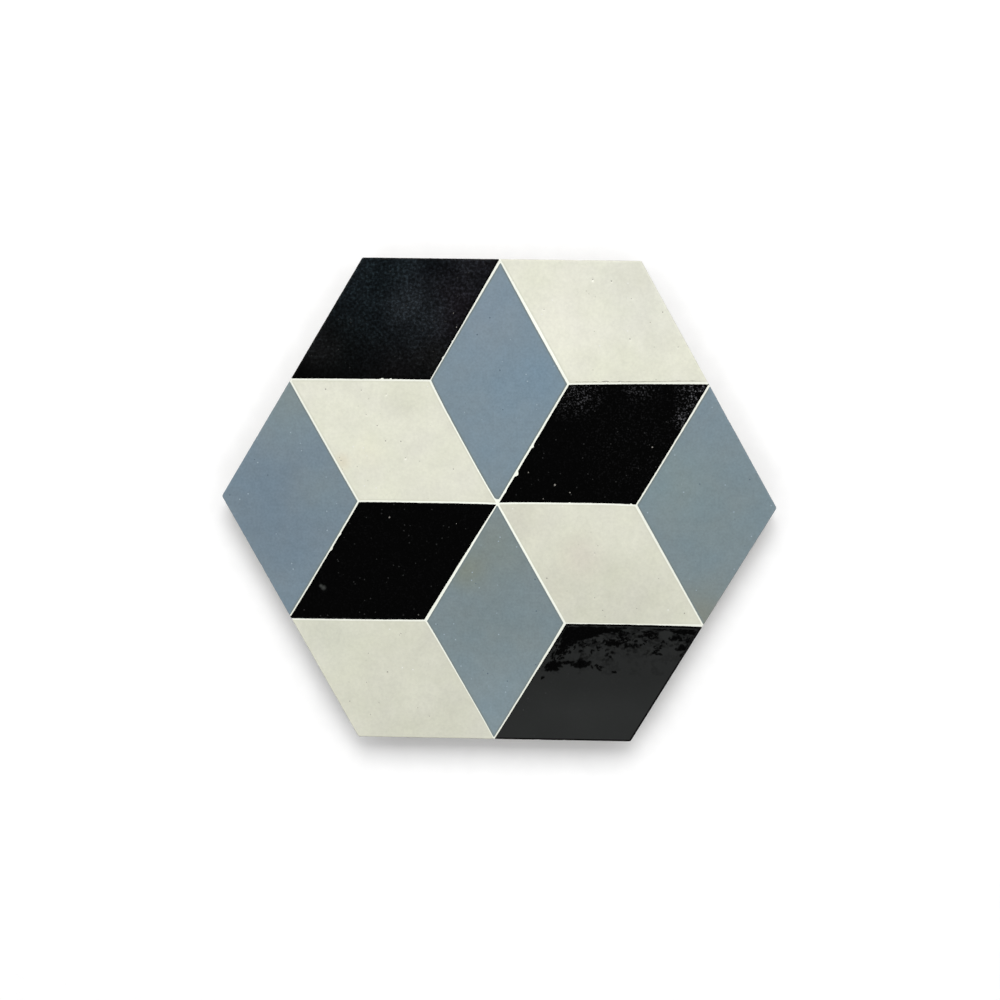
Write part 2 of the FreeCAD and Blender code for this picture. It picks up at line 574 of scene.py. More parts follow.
def outer_field(turn, colour):
    """A field at one of the tile's corners. It runs past the slab on both of its free sides."""
    joint = f"joint {turn}"
    out = Side(joint, f"middle {(turn - 30) % 360}", colour)
    back = Side(f"middle {(turn + 30) % 360}", joint, colour)
    tip, trim_back, trim_out = corner(back, out, TIP_RADIUS[colour])
    outline = tip + out.points(trim_out, out.length + PAST_THE_SIDE)
    outline += [toward(turn, 2 * rhomb_edge + 2 * PAST_THE_SIDE)]
    outline += back.points(-PAST_THE_SIDE, back.length - trim_back)
    shoulder = out.points(trim_out + SHOULDER, out.length - SHOULDER, SHOULDER, SHOULDER_STEP)
    shoulder += back.points(SHOULDER, back.length - trim_back - SHOULDER, SHOULDER, SHOULDER_STEP)
    return outline, shoulder


INNER_COLOURS = {0: "black", 60: "blue", 120: "white", 180: "black", 240: "blue", 300: "white"}
OUTER_COLOURS = {0: "blue", 60: "white", 120: "black", 180: "blue", 240: "white", 300: "black"}
fields = [(colour, *inner_field(turn, colour)) for turn, colour in INNER_COLOURS.items()]
fields += [(colour, *outer_field(turn, colour)) for turn, colour in OUTER_COLOURS.items()]
print(len(fields), "fields with", sum(len(outline) for _, outline, _ in fields), "outline points")

# %% [markdown]
# ## The slab's outline
# Every level of the slab is the same hexagon, drawn in or out. So one core polygon is kept, as far
# inside the mould's line as the corners are round, and a point of any level is a core point plus a
# step along its outward direction.

# %% The core polygon and the levels of the slab
CORNER_RADIUS = 1.2
CORNER_STEPS = 6
FACE_ARRIS = 0.5
BACK_ARRIS = 0.8
SIDE_DRAFT = math.tan(math.radians(1.0))
BORDER_STEP = 1.0

mould = [nodes[f"corner {turn}"] for turn in range(0, 360, 60)]


def drawn_in(polygon, inset):
    """A convex polygon's corners after each side has moved inwards by the inset."""
    found = []
    for n, at in enumerate(polygon):
        before, after = at - polygon[n - 1], polygon[(n + 1) % len(polygon)] - at
        normals = [Vector((-d.y, d.x)).normalized() for d in (before, after)]
        found.append(at + Matrix(normals).inverted() @ Vector((inset, inset)))
    return found


def sides_of(polygon):
    """The polygon's sides, each a start and an end."""
    return list(zip(polygon, polygon[1:] + polygon[:1]))


def nearest_foot(point, pieces):
    """The point that lies nearest to this one on any of the straight pieces."""
    feet = []
    for start, end in pieces:
        run = end - start
        share = min(1.0, max(0.0, (point - start).dot(run) / run.length_squared))
        feet.append(start + run * share)
    return min(feet, key=lambda foot: (point - foot).length)


def rounded(polygon, reach, step, corner_steps):
    """The outline that runs round a polygon at this distance, so with round corners."""
    loop = []
    for n, (start, end) in enumerate(sides_of(polygon)):
        before, after = start - polygon[n - 1], end - start
        first, last = (Vector((run.y, -run.x)).normalized() for run in (before, after))
        loop += arc(start, first, last, reach, corner_steps)
        count = round(after.length / step)
        loop += [start + after * (k / count) + last * reach for k in range(count + 1)]
    return loop


def border(inset):
    """The slab's outline, drawn in by the inset."""
    return rounded(core, CORNER_RADIUS - inset, BORDER_STEP, CORNER_STEPS)


core = drawn_in(mould, CORNER_RADIUS)
face_border = border(FACE_ARRIS)
print("the border of the face has", len(face_border), "points")

# %% [markdown]
# ## The face
# All outlines, crumbs and grains lie in one plane, so the face is one triangulation: it keeps every
# outline as an edge, and says for each triangle which outlines it lies in. That gives clean borders
# between the colours without any overlapping sheets. A few grains of white cement in the dark fields
# and dirty pinholes in the pale ones are small outlines of the same kind.

# %% Grains and pinholes
# Each grain: its place and its width, in millimetres
GRAINS = [
    ((23.6, 7.8), 0.85), ((29.9, 4.7), 0.5), ((18.9, 1.9), 0.4), ((12.6, 12.8), 0.45),
    ((63.5, 24.0), 0.6), ((-44.9, -6.9), 0.7), ((-17.0, -9.0), 0.4), ((-32.4, -47.6), 0.4),
    ((-19.2, 77.8), 0.35), ((-17.9, 72.1), 0.5),
]
# Pinholes, the left field first and then round by the right and the bottom to the bottom left
PINHOLES = [
    [(-57, 45.7), (-46.7, 44.2), (-54.9, 35.6), (-50.3, 31.2),
     (-46.8, 24.9), (-40.4, 24.8), (-38.4, 18)],
    [(-18.5, 13.7), (-64.6, 12.9), (-65.8, 17.6), (-65.2, 16.4),
     (-71.8, 45.9)],
    [(36.1, 86.3), (45.2, 91.6), (53.5, 84.6), (37.6, 92.2),
     (66.4, 79.3), (53.3, 68.2), (73, 65.2)],
    [(41.9, -17.3), (40.7, -20.3), (41, -39), (44.5, -44.3),
     (45.5, -46.9), (21, -31.2), (67.4, -30.5)],
    [(-40.2, -56.3), (-53.3, -64.3), (-45.2, -72.1), (-54, -76.7),
     (-48.7, -85.3), (-61, -84.9), (-32.3, -87.1)],
    [(-27.4, -90.6), (-52.3, -90.4), (-39.7, -55.6), (58.6, -43.2),
     (78.4, -44.8), (61.4, 75.1), (17.9, 79.8)],
]
SPOTS = [("grain", at, width) for at, width in GRAINS]
# Pinholes are 0.32 to 0.52 mm wide
for row in PINHOLES:
    SPOTS += [("pinhole", at, 0.42 + 0.1 * math.sin(n + at[0])) for n, at in enumerate(row)]


def blob(middle, width, seed, points=7):
    """An uneven round outline."""
    reach = [width / 2 * (1 + 0.35 * smooth_noise(n * 1.9, seed * 3.1, 7.0)) for n in range(points)]
    return [Vector(middle) + toward(360 * n / points, reach[n]) for n in range(points)]


spots = [(kind, blob(at, width, n)) for n, (kind, at, width) in enumerate(SPOTS)]
print(len(spots), "grains and pinholes")

# %% The crack beside one line
# The white field above this line has shrunk away from it. Each wide place is how far along the
# strip it is, how long it is and how much wider the crack is there, in millimetres.
CRACK = ("joint 60", "middle 30")
CRACK_RUN = (3.0, 54.0)
CRACK_STEP = 0.5
CRACK_GAP = 0.4
CRACK_WIDTH = 0.15
NARROWEST = 0.02
WIDE_PLACES = [(15.4, 3.0, 0.3), (21.2, 1.6, 0.35), (31.0, 2.5, 0.12), (45.0, 3.0, 0.1)]


def crack_width(along):
    """The crack's width this far along the strip."""
    width = CRACK_WIDTH * (0.7 + smooth_noise(along * 0.5, 3.0, 8.0))
    for middle, long, more in WIDE_PLACES:
        width += more * max(0.0, 1 - abs(along - middle) / (long / 2))
    return max(width, NARROWEST)


crack_side = Side(*CRACK, "white")
first, last = CRACK_RUN
stops = [first + n * CRACK_STEP for n in range(round((last - first) / CRACK_STEP) + 1)]
lower = [crack_side.point(a, CRACK_GAP) for a in stops]
upper = [crack_side.point(a, CRACK_GAP + crack_width(a)) for a in stops]
print(f"the crack is up to {max(crack_width(a) for a in stops):.2f} mm wide")

# %% Every point of the face, with its depth below the highest level
LINE_DEPTH = 0.03
LINE_STEPS = 60
EDGE_DEPTH = 0.004
PIT_DEPTH = 0.12
# The lattice that fills the fields, and how far it keeps from the lines and from the slab's outline
LATTICE = 2.6
CLEAR_OF_LINES = 2.0
CLEAR_OF_BORDER = 1.2
# How far in from its border the face has its full coat of wax
WAX_STOPS = 0.5

places, depths, loops = [], [], []


def put(points, depth):
    """Adds points to the plane and returns their numbers."""
    start = len(places)
    places.extend(points)
    depths.extend([depth] * len(points))
    return list(range(start, len(places)))


def within(point, polygon):
    """True if the point is inside a convex polygon."""
    return all((end - start).cross(point - start) >= 0 for start, end in sides_of(polygon))


def lattice(spacing, polygon):
    """The points of a triangular lattice that lie inside a convex polygon."""
    rows = int(across_flats / spacing)
    found = []
    for row in range(-rows, rows):
        for column in range(-rows, rows):
            at = Vector(((column + row % 2 / 2) * spacing, row * spacing * math.sqrt(3) / 2))
            if within(at, polygon):
                found.append(at)
    return found


loops.append(put(face_border, 0.0))
for colour, outline, shoulder in fields:
    loops.append(put(outline, EDGE_DEPTH))
    put(shoulder, 0.0)
for kind, outline in spots:
    loops.append(put(outline, 0.0))
    if kind == "pinhole":
        put([sum(outline, Vector((0, 0))) / len(outline)], PIT_DEPTH)
loops.append(put(lower + upper[::-1], 0.0))
put([(a + b) / 2 for a, b in zip(lower, upper)], PIT_DEPTH)
for start, end in strips:
    run = nodes[end] - nodes[start]
    left = Vector((-run.y, run.x)).normalized()
    shares = [n / LINE_STEPS for n in range(1, LINE_STEPS)]
    put([nodes[start] + run * share + left * bow((start, end), share) for share in shares], LINE_DEPTH)
put(border(FACE_ARRIS + WAX_STOPS), 0.0)
runs = [(nodes[start], nodes[end]) for start, end in strips]
inside = drawn_in(mould, FACE_ARRIS + WAX_STOPS + CLEAR_OF_BORDER)
fill = [at for at in lattice(LATTICE, inside) if (at - nearest_foot(at, runs)).length > CLEAR_OF_LINES]
put(fill, 0.0)
print(len(places), "points in the plane of the face")

# %% The triangulation
KEEP_INSIDE = 1
MERGE_BELOW = 1e-5
FINISHES = ["black", "white", "blue", "line", "mortar"]

flat = delaunay_2d_cdt(places, [], loops, KEEP_INSIDE, MERGE_BELOW, True)
flat_points, _, flat_faces, point_origins, _, face_origins = flat
kinds = ["tile"] + [colour for colour, _, _ in fields] + [kind for kind, _ in spots] + ["crack"]


def finish_of(origins):
    """What shows in a triangle that lies in these outlines. Bare mortar shows in every small one."""
    found = [kinds[o] for o in origins]
    if any(kind in ("grain", "pinhole", "crack") for kind in found):
        return "mortar"
    return next((kind for kind in found if kind in WANDER), "line")


face_triangles = [(tuple(f), finish_of(o)) for f, o in zip(flat_faces, face_origins) if 0 in o]
print(len(flat_points), "points and", len(face_triangles), "triangles in the face")

# %% [markdown]
# ## Relief
# The mould's plate is polished, but cement shrinks as it cures and the face is rubbed by hand. It
# ends up flat to a few hundredths of a millimetre, and that is enough to bend what the wax mirrors.

# %% Heights of the face
SWELL = 0.05
SWELL_LENGTH = 38.0
RIPPLE = 0.006
RIPPLE_LENGTH = 7.0

vertices = []
vertex_of = {}


def face_height(point, depth):
    """The height of a point of the face, never above the slab's own top."""
    swell = smooth_noise(point.x / SWELL_LENGTH, point.y / SWELL_LENGTH, 2.0) - 1
    ripple = smooth_noise(point.x / RIPPLE_LENGTH, point.y / RIPPLE_LENGTH, 9.0) - 1
    return thickness + SWELL * swell / 2 + RIPPLE * ripple / 2 - depth


on_an_outline = set()
for v in sorted({v for f, _ in face_triangles for v in f}):
    depth = max((depths[o] for o in point_origins[v]), default=EDGE_DEPTH)
    if depth == EDGE_DEPTH:
        on_an_outline.add(len(vertices))
    vertex_of[v] = len(vertices)
    vertices.append(Vector((*flat_points[v], face_height(flat_points[v], depth))))
faces = [(tuple(vertex_of[v] for v in f), finish) for f, finish in face_triangles]
face_count = len(faces)
face_vertex_count = len(vertices)
least, most = (thickness - limit(v.z for v in vertices) for limit in (max, min))
print(f"the face lies {least:.3f} to {most:.3f} mm below the top")

# %% [markdown]
# ## The sides
# The face's border is walked once round, and each of its points goes down the side level by level:
# round the arris, down past the foot of the colour, which is uneven because wet slurry and dry
# mortar soak into each other, then down the rough mortar and round the back arris. The same point
# count on each level makes plain quads, and the colour above each quad is the one it left the face
# with.

# %% The order of the face's border
edge_owner = {}
for f, finish in faces:
    for n in range(3):
        edge_owner[f[n], f[(n + 1) % 3]] = finish
following = {a: (b, finish) for (a, b), finish in edge_owner.items() if (b, a) not in edge_owner}
rim, rim_finish = [], []
v = next(iter(following))
while not rim or v != rim[0]:
    rim.append(v)
    v, finish = following[v]
    rim_finish.append(finish)
stations = []
for v in rim:
    foot = nearest_foot(vertices[v].xy, sides_of(core))
    stations.append((foot, (vertices[v].xy - foot).normalized()))
walked = [0.0]
for n in range(1, len(rim)):
    walked.append(walked[-1] + (vertices[rim[n]] - vertices[rim[n - 1]]).length)
print("the border has", len(rim), "points in", round(walked[-1]), "mm")

# %% The levels of the side
COLOUR_DEPTH = 3.0
ARRIS_STEPS = 5
# Nicks in the arris come only where the noise is strong
NICK_LENGTH = 2.2
NICK_DEPTH = 0.25
# The foot of the colour goes up and down in long and in short waves: each one's height and length
FOOT_WAVES = [(0.7, 9.0), (0.35, 2.0)]
SKIN_PITS = 0.03
MORTAR_PITS = 0.16
PIT_LENGTH = 2.4
# Where the levels lie between the arris and the colour's foot, and between the foot and the back
COLOUR_SHARES = (0.35, 0.7, 1.0)
MORTAR_SHARES = (0.06, 0.25, 0.45, 0.65, 0.85, 1.0)
# It keeps the slab inside the real size
SKIN = 0.002


def unevenness(at, length, seed):
    """Smooth noise round the side, which comes back to itself."""
    turn = 2 * math.pi * at / (walked[-1] + BORDER_STEP)
    reach = (walked[-1] + BORDER_STEP) / 2 / math.pi / length
    return smooth_noise(math.cos(turn) * reach, math.sin(turn) * reach, seed)


def side_level(at):
    """The inset and the height of each level at one place of the border, from the face to the back."""
    levels = []
    for n in range(1, ARRIS_STEPS + 1):
        turn = math.radians(89 * n / ARRIS_STEPS)
        nick = max(0.0, unevenness(at, NICK_LENGTH, 3.0 + n * 0.05) - 0.25) * NICK_DEPTH
        down = FACE_ARRIS * (1 - math.cos(turn))
        inset = FACE_ARRIS * (1 - math.sin(turn)) + SIDE_DRAFT * down + nick + SKIN
        levels.append((inset, thickness - down))
    top = levels[-1][1]
    foot = thickness - COLOUR_DEPTH
    for seed, (height, length) in enumerate(FOOT_WAVES, start=1):
        foot += height * unevenness(at, length, seed)
    for share in COLOUR_SHARES:
        z = top + (foot - top) * share
        levels.append((SIDE_DRAFT * (thickness - z) + SKIN_PITS * (1 + unevenness(at, 3.0, z)), z))
    for share in MORTAR_SHARES:
        z = foot + (BACK_ARRIS - foot) * share
        pit = MORTAR_PITS * (0.5 + 0.5 * unevenness(at, PIT_LENGTH, z * 0.45))
        levels.append((SIDE_DRAFT * (thickness - z) + pit, z))
    for n in range(1, ARRIS_STEPS + 1):
        turn = math.radians(88 * n / ARRIS_STEPS)
        inset = SIDE_DRAFT * thickness + BACK_ARRIS * (1 - math.cos(turn)) + pit
        levels.append((inset, BACK_ARRIS * (1 - math.sin(turn))))
    return levels


levels = [rim]
for n, v in enumerate(rim):
    foot, out = stations[n]
    for level, (inset, z) in enumerate(side_level(walked[n]), start=1):
        if len(levels) <= level:
            levels.append([])
        levels[level].append(len(vertices))
        vertices.append(Vector((*(foot + out * (CORNER_RADIUS - inset)), z)))
levels_of_colour = ARRIS_STEPS + len(COLOUR_SHARES)
for level in range(1, len(levels)):
    above, below = levels[level - 1], levels[level]
    for n in range(len(rim)):
        after = (n + 1) % len(rim)
        finish = rim_finish[n] if level <= levels_of_colour else "mortar"
        faces.append(((above[n], below[n], below[after], above[after]), finish))
side_count = len(faces) - face_count
print(len(levels), "levels and", side_count, "quads round the side")

# %% [markdown]
# ## The back
# The back is the sifted mortar as the ram left it: a flat rim, a shallow hexagonal key for the
# adhesive, and sandy grain all over. It is triangulated in the same way as the face, between the
# last level of the side and the two outlines of the key.

# %% The back's points
KEY_BORDER = 18.0
KEY_DEPTH = 1.0
KEY_CORNER_RADIUS = 8.0
KEY_CORNER_STEPS = 8
KEY_STEP = 2.0
BACK_LATTICE = 2.4
CLEAR_OF_RIM = 3.0

true_corners = [toward(turn, 2 * rhomb_edge) for turn in range(0, 360, 60)]
key_heart = drawn_in(true_corners, KEY_BORDER + KEY_CORNER_RADIUS)
back_rim = levels[-1]
back_places = []
loops = []
mouth = rounded(key_heart, KEY_CORNER_RADIUS, KEY_STEP, KEY_CORNER_STEPS)
bed = rounded(key_heart, KEY_CORNER_RADIUS - KEY_DEPTH, KEY_STEP, KEY_CORNER_STEPS)
for outline in ([vertices[v].xy for v in back_rim], mouth, bed):
    loops.append(list(range(len(back_places), len(back_places) + len(outline))))
    back_places += outline
back_places += lattice(BACK_LATTICE, drawn_in(mould, CLEAR_OF_RIM))
flat = delaunay_2d_cdt(back_places, [], loops, KEEP_INSIDE, MERGE_BELOW, True)
back_points, _, back_faces, back_origins, _, _ = flat
print(len(back_points), "points in the back")

# %% The back's heights and triangles
# Sand grains of about 1 mm stand out of hollows of about 4 mm
BACK_GRAIN = 0.14


def key_share(point):
    """0 on the rim, 1 on the bed of the key, and between them on its slope."""
    if within(point, key_heart):
        return 1.0
    away = (point - nearest_foot(point, sides_of(key_heart))).length
    return min(1.0, max(0.0, (KEY_CORNER_RADIUS - away) / KEY_DEPTH))


back_vertex = {}
for v, at in enumerate(back_points):
    on_the_side = [back_rim[o] for o in back_origins[v] if o < len(back_rim)]
    if on_the_side:
        back_vertex[v] = on_the_side[0]
        continue
    grain = 0.6 * smooth_noise(at.x / 5, at.y / 5, 1.0) + 0.4 * smooth_noise(at.x / 1.7, at.y / 1.7, 5.0)
    height = KEY_DEPTH * key_share(at) + BACK_GRAIN * max(0.0, 0.5 + 0.8 * grain)
    back_vertex[v] = len(vertices)
    vertices.append(Vector((at.x, at.y, height)))
for f in back_faces:
    faces.append((tuple(back_vertex[v] for v in reversed(f)), "mortar"))
print(len(vertices), "vertices and", len(faces), "faces in the tile")

# %% [markdown]
# ## A map of the surface
# The face is what people look at, so it gets most of the map, unstretched. The back lies above it,
# smaller, and the six sides lie beside the back as straight bands.

# %% The map's coordinates
# The share of the map's width that a millimetre takes up. The face is 230.8 mm wide
FACE_SCALE = 0.78 / 230.8
BACK_SCALE = 0.0015
SIDE_SCALE = 0.0027
# Where the middles of the face, of the back and of the first side's top lie in the map, and how far
# apart the bands of the sides lie
FACE_MIDDLE = (0.5, 0.35)
BACK_MIDDLE = (0.185, 0.85)
SIDE_MIDDLE = (0.523, 0.77)
SIDE_SPACING = (0.319, 0.09)


def mapped(v, kind, sector):
    """The place in the map of a vertex, for the face, the back or one of the six sides."""
    at = vertices[v]
    if kind == "face":
        return FACE_MIDDLE[0] + at.x * FACE_SCALE, FACE_MIDDLE[1] + at.y * FACE_SCALE
    if kind == "back":
        return BACK_MIDDLE[0] - at.x * BACK_SCALE, BACK_MIDDLE[1] + at.y * BACK_SCALE
    out = toward(60 * sector + 30, 1)
    along = at.y * out.x - at.x * out.y
    inset = across_flats / 2 - at.xy.dot(out)
    down = thickness - at.z + (inset if at.z < thickness / 2 else -inset)
    left = SIDE_MIDDLE[0] + SIDE_SPACING[0] * (sector % 2)
    top = SIDE_MIDDLE[1] + SIDE_SPACING[1] * (sector // 2)
    return left + along * SIDE_SCALE, top - down * SIDE_SCALE


def sector_of(indices):
    """Which of the six sides a quad of the border belongs to."""
    middle = sum((vertices[v].xy for v in indices), Vector((0, 0)))
    return int(math.degrees(math.atan2(middle.y, middle.x)) % 360 // 60)


places_in_map = []
for n, (indices, _) in enumerate(faces):
    kind = "face" if n < face_count else "side" if n < face_count + side_count else "back"
    sector = sector_of(indices) if kind == "side" else 0
    places_in_map += [mapped(v, kind, sector) for v in indices]
print("map from", [round(min(p[i] for p in places_in_map), 3) for i in (0, 1)])
print("map to", [round(max(p[i] for p in places_in_map), 3) for i in (0, 1)])

# %% The tile's mesh
# Edges sharper than this are shaded as edges
SHARP_FROM = math.radians(40)
# The wax is wiped off along the face's border, and the sides below it never had any
unwaxed = set(range(face_vertex_count, len(vertices))) | set(rim)

tile_mesh = bpy.data.meshes.new("hexagon_tile_pressed")
tile_mesh.from_pydata([v * MM for v in vertices], [], [f for f, _ in faces])
tile_mesh.polygons.foreach_set("material_index", [FINISHES.index(finish) for _, finish in faces])
tile_mesh.polygons.foreach_set("use_smooth", [True] * len(faces))
tile_mesh.update()
for name, marked in (("worn", unwaxed), ("edge", on_an_outline)):
    values = tile_mesh.attributes.new(name, "FLOAT", "POINT")
    values.data.foreach_set("value", [1.0 if n in marked else 0.0 for n in range(len(vertices))])
tile_mesh.set_sharp_from_angle(angle=SHARP_FROM)
uv_map = tile_mesh.uv_layers.new(name="OFBake")
uv_map.data.foreach_set("uv", [value for place in places_in_map for value in place])
tile = bpy.data.objects.new("hexagon_tile_pressed", tile_mesh)
bpy.context.scene.collection.objects.link(tile)
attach(tile, "root")
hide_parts("hexagon_tile")
print("the tile has", len(tile_mesh.polygons), "faces of its own")

# %% [markdown]
# ## Coloured cement
# All colours are the same white or grey cement with mineral pigment stirred in by hand. So a field
# is never of one tone: it has clouds as wide as a hand's stroke, a grain as fine as the sand, and
# washes where the slurry was a little richer. Photographs of cement could show that too, but noise
# has no seams and no shadows in it. Some of the colour is painted light, though: the white is painted
# darker towards the bottom as shade, and a sheen is painted into two of the black fields. Every size
# below is in millimetres on the tile. Sand grains are 0.1 to 0.4 mm wide, which is too fine to show
# here, so the finest grain is drawn about 1 mm wide. The face is waxed and gloss, while the sides
# keep the mould's dull skin.

# %% What the coloured cements share
def cement(name):
    """A new material, its tree, and the place on the tile in millimetres."""
    material = bpy.data.materials.new(name)
    material.use_nodes = True
    tile_mesh.materials.append(material)
    tree = material.node_tree
    place = add(tree, "TexCoord", take="Object")
    place = add(tree, "VectorMath", {"Vector": place, "Scale": 1 / MM}, operation="SCALE")
    return tree, place


def near(tree, place, middle, reach):
    """A mask that is 1 at a place on the face and fades to 0 at this reach."""
    away = add(tree, "VectorMath", [place, (*middle, thickness)], "Value", operation="DISTANCE")
    return add(tree, "MapRange", [away, 0.0, reach, 1.0, 0.0], interpolation_type="SMOOTHSTEP")


def washed(tree, place, colour, washes):
    """The colour with washes over it. Each wash is a place, a reach and a colour."""
    for middle, reach, wash in washes:
        mask = near(tree, place, middle, reach)
        colour = add(tree, "MixRGB", [mask, colour, linear(wash)])
    return colour


def grained(tree, place, colour, size, least, most):
    """The colour times a tint that changes from grain to grain, between two numbers or two tints."""
    grain = add(tree, "TexNoise", {"Vector": place, "Scale": 1 / size, "Detail": 2.0})
    grain = add(tree, "MapRange", [grain, 0.3, 0.7])
    tints = [(*t, 1) if isinstance(t, tuple) else (t, t, t, 1) for t in (least, most)]
    tint = add(tree, "MixRGB", [grain, *tints])
    return add(tree, "VectorMath", [colour, tint], operation="MULTIPLY")


def edged(tree, colour, edge_colour, most):
    """The colour, nearing another, darker one towards the lines. On the black this is painted shade."""
    edge = add(tree, "Attribute", attribute_name="edge", take="Fac")
    edge = add(tree, "MapRange", [edge, 0.08, 0.5, 0.0, most])
    return add(tree, "MixRGB", [edge, colour, linear(edge_colour)])


def specks(tree, place, spacing, width, share):
    """A mask of small dots at about this spacing. Only this share of the places has one."""
    cells = add(tree, "TexVoronoi", {"Vector": place, "Scale": 1 / spacing}, None)
    edge = width / spacing / 2
    dot = add(tree, "MapRange", [cells.outputs["Distance"], edge, edge / 2])
    pick = add(tree, "SeparateColor", [cells.outputs["Color"]])
    pick = add(tree, "Math", [pick, share], operation="LESS_THAN")
    return add(tree, "Math", [dot, pick], operation="MULTIPLY")


def specked(tree, place, colour, spacing, width, share, speck_colour):
    """The colour, with small dots of another one in it."""
    dots = specks(tree, place, spacing, width, share)
    return add(tree, "MixRGB", [dots, colour, linear(speck_colour)])


# %% The shader that the cements share
GRIME = "#6f6a62"


def finish(tree, place, colour, gloss, dull=0.55, bump=0.0, bump_size=1.2):
    """Sets the shader. gloss is the face's roughness, and dull is that of the sides and worn edges.

    The sides are smeared with the grey mortar that oozes up beside the colours in the mould.
    """
    shader = tree.nodes["Principled BSDF"]
    worn = add(tree, "Attribute", attribute_name="worn", take="Fac")
    side = add(tree, "MapRange", [worn, 0.3, 0.7])
    wear = add(tree, "TexNoise", {"Vector": place, "Scale": 1 / 9, "Detail": 4.0})
    wear = add(tree, "MapRange", [wear, 0.3, 0.7, gloss * 0.8, gloss * 1.25])
    rough = add(tree, "MapRange", [side, 0.0, 1.0, wear, dull])
    sheen = add(tree, "MapRange", [side, 0.0, 1.0, 0.5, 0.03])
    upright = add(tree, "TexCoord", take="Normal")
    upright = add(tree, "SeparateXYZ", [upright], "Z")
    smear = add(tree, "TexNoise", {"Vector": place, "Scale": 1 / 5, "Detail": 5.0})
    smear = add(tree, "MapRange", [smear, 0.3, 0.65, 0.15, 0.8])
    smear = add(tree, "MapRange", [upright, 0.75, 0.3, 0.0, smear])
    colour = add(tree, "MixRGB", [smear, colour, linear(GRIME)])
    tree.links.new(colour, shader.inputs["Base Color"])
    tree.links.new(rough, shader.inputs["Roughness"])
    tree.links.new(sheen, shader.inputs["Specular IOR Level"])
    if bump:
        pits = add(tree, "TexNoise", {"Vector": place, "Scale": 1 / bump_size, "Detail": 2.0})
        pits = add(tree, "Bump", {"Height": pits, "Distance": bump * MM, "Strength": 1.0})
        tree.links.new(pits, shader.inputs["Normal"])
    print(tile_mesh.materials[-1].name, "has", len(tree.nodes), "nodes")


# %% [markdown]
# ### Black
# Iron oxide black in grey cement, waxed until it mirrors. On the field at the top left a hazy sheen
# is painted into the colour: a pale reflection, bluish where it's thinnest, with a mottle like cloth
# marks in it. A little dust shows as tiny pale dots on all the black, and in two corners of the
# right-hand field those dots are stronger, as painted sheen. There is a smear on the left-hand field,
# and along the lines the black is painted darker, as shade.

# %% The painted sheen and the dust on the black
# The painted sheen's middle and its reach, and its steps from the mottle's dark marks to its pale ones
PAINTED_SHEEN = ((-39.0, 95.0), 68.0)
PAINTED_SHEEN_STEPS = [(0.36, linear("#1c1d1d")), (0.53, linear("#2d2f31")), (0.69, linear("#474d50"))]
PAINTED_SHEEN_TINT = "#8c9ea6"
PAINTED_SHEEN_WASHES = [
    ((-12, 78), 40, "#a2929d"),
    ((-78, 56), 34, "#86897f"),
    ((-42, 50), 26, "#958c8c"),
    ((-36, 77), 18, "#d5dfe9"),
    ((-76, 62), 14, "#fbf6f3"),
    ((-26, 57), 13, "#e4ddd9"),
    ((-8, 96), 16, "#d8d2de"),
]
# Round this middle and within this reach the wax was wiped clean
WIPED = ((60.0, -80.0), 60.0)
SMEARS = [((-72.3, -36.9), 1.5, "#3b3d3b"), ((-73.4, -36.1), 1.1, "#3b3d3b")]
# Each patch of painted sheen: its middle, its reach and how strong it is. A little dust lies everywhere
DUST = 0.015
SHEEN_PATCHES = [
    ((30.5, 48.5), 17.0, 0.55),
    ((84.0, 47.5), 15.0, 1.0),
    ((58.0, 50.0), 11.0, 0.4),
    ((77.0, 36.0), 8.0, 0.8),
    ((58.0, 26.0), 48.0, 0.05),
]

# %% Black cement
tree, place = cement("black_cement_waxed")
black = linear("#040404")
# Painted sheen: a pale, bluish, mottled reflection painted into the colour of the top left field
sheen_mottle = {"Vector": place, "Scale": 1 / 1.15, "Detail": 3.0, "Roughness": 0.6, "Distortion": 0.3}
sheen_mottle = add(tree, "TexNoise", sheen_mottle)
sheen_colour = add(tree, "ValToRGB", [sheen_mottle], stops=PAINTED_SHEEN_STEPS)
tint = washed(tree, place, linear(PAINTED_SHEEN_TINT), PAINTED_SHEEN_WASHES)
sheen_colour = add(tree, "VectorMath", [sheen_colour, tint], operation="MULTIPLY")
sheen_colour = grained(tree, place, sheen_colour, 13, 0.55, 1.4)
sheen_mask = near(tree, place, *PAINTED_SHEEN)
colour = add(tree, "MixRGB", [sheen_mask, black, sheen_colour])
# Pale dots: real dust everywhere, and painted sheen where the patches make them stronger
dust_and_sheen = DUST
for middle, reach, most in SHEEN_PATCHES:
    here = add(tree, "Math", [near(tree, place, middle, reach), most], operation="MULTIPLY")
    dust_and_sheen = add(tree, "Math", [dust_and_sheen, here], operation="MAXIMUM")
pale_dots = add(tree, "TexNoise", {"Vector": place, "Scale": 1 / 0.65, "Detail": 4.0})
pale_dots = add(tree, "MapRange", [pale_dots, 0.54, 0.74])
pale_dots = add(tree, "Math", [pale_dots, dust_and_sheen], operation="MULTIPLY")
colour = add(tree, "MixRGB", [pale_dots, colour, linear("#77777b")])
dots = specks(tree, place, 2.3, 0.7, 0.35)
clean = near(tree, place, *WIPED)
dots = add(tree, "Math", [dots, clean], use_clamp=True, operation="SUBTRACT")
colour = add(tree, "MixRGB", [dots, colour, linear("#2a2a2a")])
colour = washed(tree, place, colour, SMEARS)
# Painted shade: towards the lines the black darkens to near its plain colour, where the dip beside a
# line mirrors none of the sheen
colour = edged(tree, colour, "#030303", 0.8)
finish(tree, place, colour, 0.012)

# %% [markdown]
# ### White
# White cement with marble powder: warm, a little yellow, and with a few open pits that have kept dirt.
# It is painted greyer towards the bottom of the tile: painted shade, where the light falls off.

